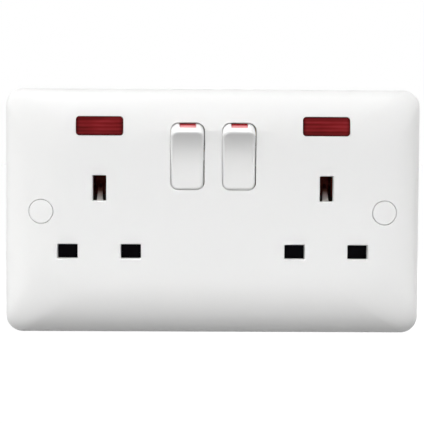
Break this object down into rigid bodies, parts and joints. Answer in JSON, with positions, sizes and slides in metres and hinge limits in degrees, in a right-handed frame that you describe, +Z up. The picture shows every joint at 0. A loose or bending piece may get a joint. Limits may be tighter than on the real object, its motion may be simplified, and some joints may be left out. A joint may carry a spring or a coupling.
{
  "type": "switched double socket",
  "caption": "Switched double mains socket on a soft-edged white plate, with rockers, red indicators and shutters.",
  "frame": {"origin": "on the wall plane, midway between the two fixing screws", "axes": "+X to the right seen from the front, +Y into the wall, +Z up with the earth slots above the others"},
  "size_m": [0.146, 0.0349, 0.086],
  "materials": {
    "white_moulding": "satin gloss",
    "housing_plastic": "satin",
    "red_plastic": "gloss",
    "shutter_plastic": "matt",
    "cam_plastic": "satin",
    "brass": "bare",
    "copper": "bare",
    "steel": "bright zinc",
    "spring_steel": "bright",
    "glass": "clear",
    "resistor_body": "lacquered"
  },
  "bodies": {
    "socket": {"front_plate": "white_moulding", "rear_housing": "housing_plastic", "live_bar": "brass", "neutral_bar": "brass", "earth_bar": "brass", "screw_cap_left": "white_moulding", "fixing_screw_left": "steel", "indicator_lens_left": "red_plastic", "shutter_spring_left": "spring_steel", "shutter_frame_left": "shutter_plastic", "neon_lamp_left": "glass", "resistor_left": "resistor_body", "lamp_lead_left": "steel", "live_lead_left": "steel", "neutral_lead_left": "steel", "live_contact_left": "brass", "screw_cap_right": "white_moulding", "fixing_screw_right": "steel", "indicator_lens_right": "red_plastic", "shutter_spring_right": "spring_steel", "shutter_frame_right": "shutter_plastic", "neon_lamp_right": "glass", "resistor_right": "resistor_body", "lamp_lead_right": "steel", "live_lead_right": "steel", "neutral_lead_right": "steel", "live_contact_right": "brass", "terminal_live": "brass", "terminal_screw_live": "steel", "terminal_neutral": "brass", "terminal_screw_neutral": "steel", "terminal_earth_left": "brass", "terminal_screw_earth_left": "steel", "terminal_earth_right": "brass", "terminal_screw_earth_right": "steel", "housing_screw_left_upper": "steel", "housing_screw_left_lower": "steel", "housing_screw_right_upper": "steel", "housing_screw_right_lower": "steel"},
    "rocker_left": {"rocker_left": "white_moulding", "rocker_flag_left": "red_plastic", "plunger_spring_left": "spring_steel"},
    "plunger_left": {"plunger_left": "steel"},
    "contact_blade_left": {"contact_blade_left": "copper"},
    "shutter_left": {"shutter_left": "shutter_plastic", "shutter_cam_left": "cam_plastic"},
    "rocker_right": {"rocker_right": "white_moulding", "rocker_flag_right": "red_plastic", "plunger_spring_right": "spring_steel"},
    "plunger_right": {"plunger_right": "steel"},
    "contact_blade_right": {"contact_blade_right": "copper"},
    "shutter_right": {"shutter_right": "shutter_plastic", "shutter_cam_right": "cam_plastic"}
  },
  "joints": [
    {"name": "rocker_turn_left", "type": "hinge", "parent": "socket", "child": "rocker_left", "pos_m": [-0.00905, -0.0033, 0.0195], "axis": [-1, 0, 0], "range_deg": [0, 19.7]},
    {"name": "plunger_slide_left", "type": "slide", "parent": "rocker_left", "child": "plunger_left", "axis": [0, -0.9853, -0.1711], "range_m": [0, 0.0008], "stiffness_N_per_m": 500, "deforming": ["plunger_spring_left"]},
    {"name": "blade_rock_left", "type": "hinge", "parent": "socket", "child": "contact_blade_left", "pos_m": [-0.00905, 0.0074, 0.0195], "axis": [1, 0, 0], "range_deg": [0, 18]},
    {"name": "shutter_slide_left", "type": "slide", "parent": "socket", "child": "shutter_left", "axis": [0, 0, -1], "range_m": [0, 0.0056], "stiffness_N_per_m": 150, "deforming": ["shutter_spring_left"]},
    {"name": "rocker_turn_right", "type": "hinge", "parent": "socket", "child": "rocker_right", "pos_m": [0.00905, -0.0033, 0.0195], "axis": [-1, 0, 0], "range_deg": [0, 19.7]},
    {"name": "plunger_slide_right", "type": "slide", "parent": "rocker_right", "child": "plunger_right", "axis": [0, -0.9853, -0.1711], "range_m": [0, 0.0008], "stiffness_N_per_m": 500, "deforming": ["plunger_spring_right"]},
    {"name": "blade_rock_right", "type": "hinge", "parent": "socket", "child": "contact_blade_right", "pos_m": [0.00905, 0.0074, 0.0195], "axis": [1, 0, 0], "range_deg": [0, 18]},
    {"name": "shutter_slide_right", "type": "slide", "parent": "socket", "child": "shutter_right", "axis": [0, 0, -1], "range_m": [0, 0.0056], "stiffness_N_per_m": 150, "deforming": ["shutter_spring_right"]}
  ],
  "couplings": [
    {"joint": "blade_rock_left", "follows": "rocker_turn_left", "ratio": 0.91371},
    {"joint": "blade_rock_right", "follows": "rocker_turn_right", "ratio": 0.91371}
  ]
}
